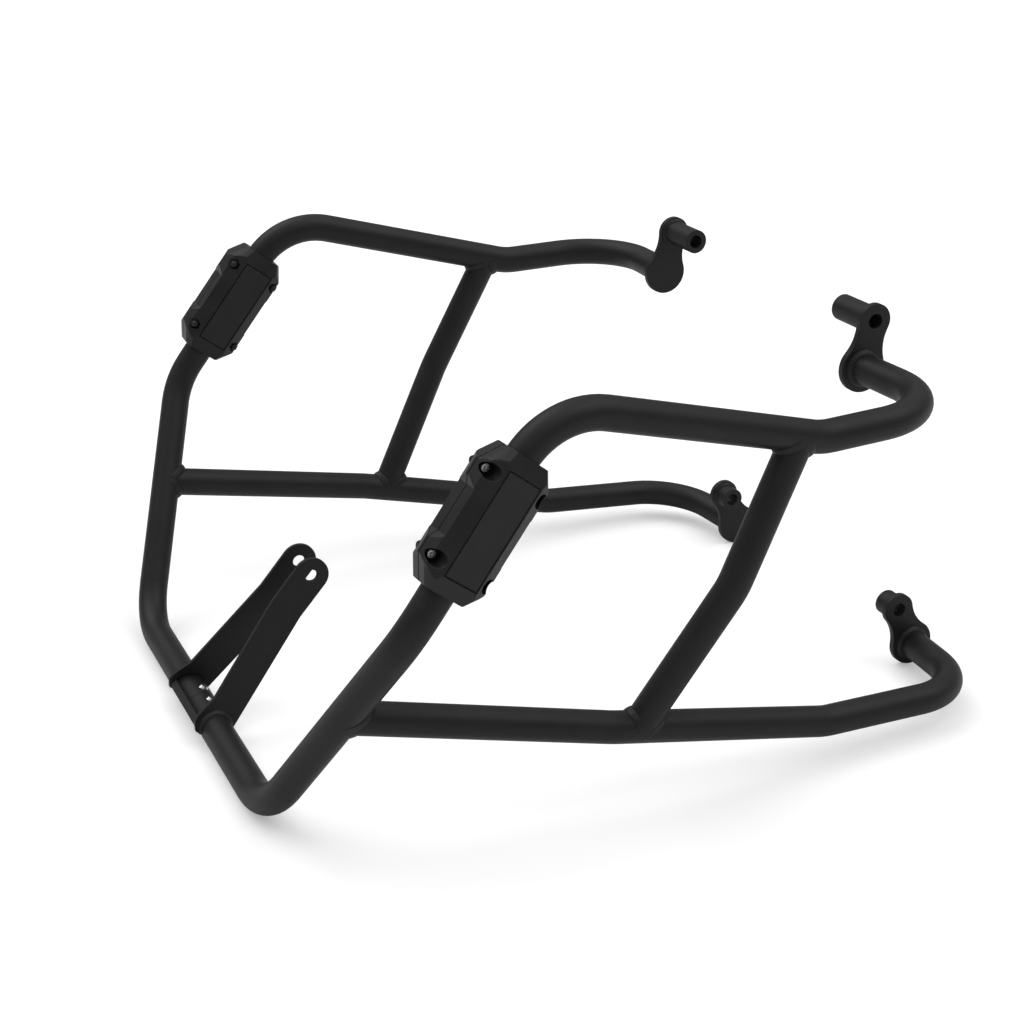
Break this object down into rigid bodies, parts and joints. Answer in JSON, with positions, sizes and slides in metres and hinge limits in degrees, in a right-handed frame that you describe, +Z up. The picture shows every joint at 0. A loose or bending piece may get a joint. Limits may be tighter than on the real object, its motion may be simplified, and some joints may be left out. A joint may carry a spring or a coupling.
{
  "type": "motorcycle crash bars",
  "caption": "Bent tube crash bars for a motorcycle: a loop on each side with a brace and a guard pad, rear mounting lugs and a forked bracket at the front.",
  "frame": {"origin": "on the floor, under the middle of the object's box", "axes": "+X to the rider's left, +Y to the rear wheel, +Z up as it stands on a floor"},
  "size_m": [0.5522, 0.5564, 0.3015],
  "materials": {
    "black_coat": "satin black powder coat",
    "coated_weld": "satin black powder coat over a weld bead",
    "guard_plastic": "matte moulded",
    "stainless": "bright",
    "black_steel": "blackened",
    "plain_steel": "bare"
  },
  "bodies": {
    "root": {"left_main_tube": "black_coat", "right_main_tube": "black_coat", "left_lower_tube": "black_coat", "right_lower_tube": "black_coat", "left_brace_tube": "black_coat", "right_brace_tube": "black_coat", "left_upper_lug": "black_coat", "right_upper_lug": "black_coat", "left_lower_lug": "black_coat", "right_lower_lug": "black_coat", "left_upper_spacer": "black_coat", "right_upper_spacer": "black_coat", "left_lower_spacer": "black_coat", "right_lower_spacer": "black_coat", "left_bracket_arm": "black_coat", "right_bracket_arm": "black_coat", "joint_sleeve": "plain_steel", "joint_screws": "stainless", "left_tube_welds": "coated_weld", "right_tube_welds": "coated_weld", "bracket_welds": "coated_weld", "left_pad_outer": "guard_plastic", "right_pad_outer": "guard_plastic", "left_pad_inner": "guard_plastic", "right_pad_inner": "guard_plastic", "left_pad_screws": "stainless", "right_pad_screws": "stainless", "left_pad_nuts": "black_steel", "right_pad_nuts": "black_steel"}
  },
  "joints": []
}
